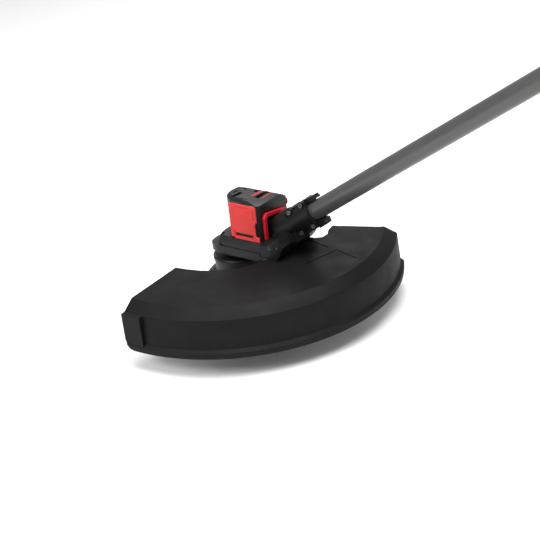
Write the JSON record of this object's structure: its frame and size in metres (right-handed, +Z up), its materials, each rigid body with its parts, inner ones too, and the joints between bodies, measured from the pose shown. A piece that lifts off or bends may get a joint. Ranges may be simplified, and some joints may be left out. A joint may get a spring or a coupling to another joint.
{
  "type": "string trimmer",
  "caption": "Cordless string trimmer: straight shaft, wide curved guard, bump-feed line head under a geared motor box, loop front handle, rear trigger grip and slide-on battery pack.",
  "frame": {"origin": "centre of the bump knob's rubbing face, on the cutting head's spindle axis", "axes": "+Z up along the spindle; +Y forward, the cutting direction; the shaft rises 33.67 degrees towards -Y; +X to the operator's right"},
  "size_m": [0.3577, 1.4365, 1.0036],
  "materials": {
    "guard_plastic": "fine-textured moulded polypropylene",
    "housing_black": "fine-textured glass-filled nylon",
    "yoke_black": "moulded glass-filled nylon",
    "clamp_black": "moulded glass-filled nylon",
    "head_black": "moulded nylon",
    "knob_black": "wear-resistant nylon",
    "handle_black": "moulded nylon",
    "battery_black": "moulded plastic",
    "latch_black": "moulded plastic",
    "switch_black": "moulded plastic",
    "fan_plastic": "moulded plastic",
    "panel_red": "satin moulded red plastic",
    "arch_red": "satin moulded red plastic",
    "trigger_red": "satin moulded red plastic",
    "button_red": "satin moulded red plastic",
    "battery_red": "satin moulded red plastic",
    "spool_red": "moulded nylon",
    "line_nylon": "extruded nylon line",
    "cell_blue": "shrink sleeve",
    "board_green": "potted circuit board",
    "tube_grey": "satin grey paint on aluminium",
    "screw_steel": "zinc-plated steel",
    "bright_steel": "ground steel",
    "gear_steel": "hardened steel",
    "blade_steel": "sheared steel",
    "magnet_steel": "laminated steel and magnets",
    "stator_steel": "laminated steel and copper winding",
    "grip_rubber": "soft moulded rubber",
    "cable_rubber": "rubber jacket"
  },
  "bodies": {
    "frame": {"guard": "guard_plastic", "guard_screws": "screw_steel", "line_cutter": "blade_steel", "cutter_screws": "screw_steel", "gearcase": "housing_black", "gearcase_cover": "housing_black", "gearcase_screws": "screw_steel", "spindle_bearing_lower": "bright_steel", "spindle_bearing_upper": "bright_steel", "motor_bearings": "bright_steel", "stator": "stator_steel", "motor_housing": "housing_black", "motor_cover": "housing_black", "side_panel_right": "panel_red", "side_panel_left": "panel_red", "arch_trim": "arch_red", "yoke": "yoke_black", "yoke_bolts": "screw_steel", "clamp_left": "clamp_black", "clamp_right": "clamp_black", "clamp_bolts": "screw_steel", "shaft_tube": "tube_grey", "power_cable": "cable_rubber", "hanger_band": "clamp_black", "rear_housing_left": "housing_black", "rear_housing_right": "housing_black", "housing_screws": "screw_steel", "lever_pins": "bright_steel", "trigger_switch": "switch_black", "control_board": "board_green", "battery_terminals": "switch_black", "battery_rails": "housing_black"},
    "head": {"spindle": "bright_steel", "drive_gear": "gear_steel", "spindle_nut": "bright_steel", "spool_housing": "head_black", "spool_cap": "head_black", "line_eyelets": "bright_steel", "feed_spring": "bright_steel"},
    "motor": {"motor_shaft": "bright_steel", "rotor": "magnet_steel", "cooling_fan": "fan_plastic", "pinion": "gear_steel"},
    "bump_knob": {"bump_knob": "knob_black"},
    "spool": {"spool": "spool_red", "wound_line": "line_nylon"},
    "trigger": {"trigger": "trigger_red"},
    "lock_off": {"lock_off_lever": "trigger_red"},
    "power_button": {"power_button": "button_red"},
    "speed_selector": {"speed_selector": "knob_black"},
    "front_handle": {"front_handle": "handle_black", "handle_cap": "handle_black", "handle_bolts": "screw_steel", "handle_grip": "grip_rubber"},
    "handle_knob": {"handle_knob": "knob_black"},
    "battery": {"battery_case": "battery_red", "battery_base": "battery_black", "battery_cells": "cell_blue"},
    "latch_right": {"battery_latch_right": "latch_black"},
    "latch_left": {"battery_latch_left": "latch_black"}
  },
  "joints": [
    {"name": "head_spin", "type": "hinge", "parent": "frame", "child": "head", "pos_m": [0, 0, 0.05], "axis": [0, 0, 1], "continuous": true},
    {"name": "motor_spin", "type": "hinge", "parent": "frame", "child": "motor", "pos_m": [0, -0.03, 0.12], "axis": [0, 0, 1], "continuous": true},
    {"name": "bump_press", "type": "slide", "parent": "head", "child": "bump_knob", "axis": [0, 0, 1], "range_m": [0, 0.005], "stiffness_N_per_m": 2500, "springref_m": -0.006, "deforming": ["feed_spring"]},
    {"name": "line_feed", "type": "hinge", "parent": "bump_knob", "child": "spool", "pos_m": [0, 0, 0.028], "axis": [0, 0, 1], "continuous": true},
    {"name": "trigger_pull", "type": "hinge", "parent": "frame", "child": "trigger", "pos_m": [0, -1.13761, 0.80617], "axis": [-1, 0, 0], "range_deg": [0, 14], "stiffness_Nm_per_rad": 0.8, "springref_deg": -6.88},
    {"name": "lock_off_press", "type": "hinge", "parent": "frame", "child": "lock_off", "pos_m": [0, -1.12957, 0.83266], "axis": [1, 0, 0], "range_deg": [0, 8], "stiffness_Nm_per_rad": 0.6, "springref_deg": -6.88},
    {"name": "power_press", "type": "slide", "parent": "frame", "child": "power_button", "axis": [0, -0.5544, -0.8322], "range_m": [0, 0.0015], "stiffness_N_per_m": 900, "springref_m": -0.001},
    {"name": "speed_select", "type": "slide", "parent": "frame", "child": "speed_selector", "axis": [0, -0.8322, 0.5544], "range_m": [0, 0.01]},
    {"name": "handle_shift", "type": "slide", "parent": "frame", "child": "front_handle", "axis": [0, -0.8322, 0.5544], "range_m": [-0.1, 0.15]},
    {"name": "handle_knob_turn", "type": "hinge", "parent": "front_handle", "child": "handle_knob", "pos_m": [0.0166, -0.74201, 0.52341], "axis": [0, 0.5544, 0.8322], "range_deg": [0, 360]},
    {"name": "battery_slide", "type": "slide", "parent": "frame", "child": "battery", "axis": [0, -0.5544, -0.8322], "range_m": [0, 0.092]},
    {"name": "latch_press_right", "type": "slide", "parent": "battery", "child": "latch_right", "axis": [-1, 0, 0], "range_m": [0, 0.0025], "stiffness_N_per_m": 700, "springref_m": -0.002},
    {"name": "latch_press_left", "type": "slide", "parent": "battery", "child": "latch_left", "axis": [1, 0, 0], "range_m": [0, 0.0025], "stiffness_N_per_m": 700, "springref_m": -0.002}
  ],
  "couplings": [
    {"joint": "motor_spin", "follows": "head_spin", "ratio": -3}
  ]
}
